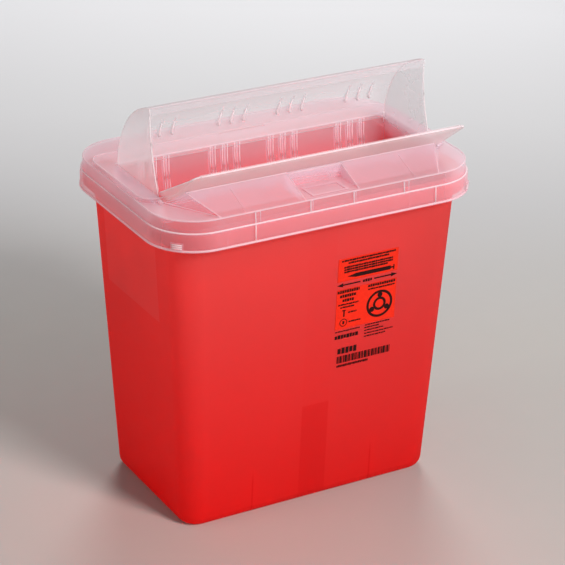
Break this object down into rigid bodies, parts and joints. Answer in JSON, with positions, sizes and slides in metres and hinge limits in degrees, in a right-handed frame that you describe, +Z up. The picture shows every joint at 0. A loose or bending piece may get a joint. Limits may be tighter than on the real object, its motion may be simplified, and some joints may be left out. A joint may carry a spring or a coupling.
{
  "type": "sharps container",
  "caption": "Tapered translucent tub with a clear press-on lid; a curved guard hood and a front flap turn on one axis to close the lid's wide drop opening",
  "frame": {"origin": "centre of the tub's flat underside, on the surface it stands on", "axes": "+X to the right along the width, -Y to the front (flap and label side), +Z up"},
  "size_m": [0.2666, 0.18, 0.3285],
  "materials": {
    "tub_plastic": "translucent red polypropylene, smooth with a soft sheen",
    "clear_plastic": "natural clear polypropylene, slightly milky",
    "label_orange": "printed film label",
    "print_black": "printed ink"
  },
  "bodies": {
    "tub_body": {"tub": "tub_plastic", "upper_label": "label_orange", "lower_label": "label_orange", "fill_level_arrows": "print_black", "printed_note_lines": "print_black", "printed_code_bars": "print_black"},
    "lid_body": {"lid": "clear_plastic"},
    "hood_body": {"guard_hood": "clear_plastic"},
    "flap_body": {"front_flap": "clear_plastic"}
  },
  "joints": [
    {"name": "lid_lift", "type": "slide", "parent": "tub_body", "child": "lid_body", "axis": [0, 0, 1], "range_m": [0, 0.06]},
    {"name": "hood_swing", "type": "hinge", "parent": "lid_body", "child": "hood_body", "pos_m": [0, -0.038, 0.261], "axis": [-1, 0, 0], "range_deg": [0, 76]},
    {"name": "flap_swing", "type": "hinge", "parent": "lid_body", "child": "flap_body", "pos_m": [0, -0.038, 0.261], "axis": [-1, 0, 0], "range_deg": [0, 140.5]}
  ]
}
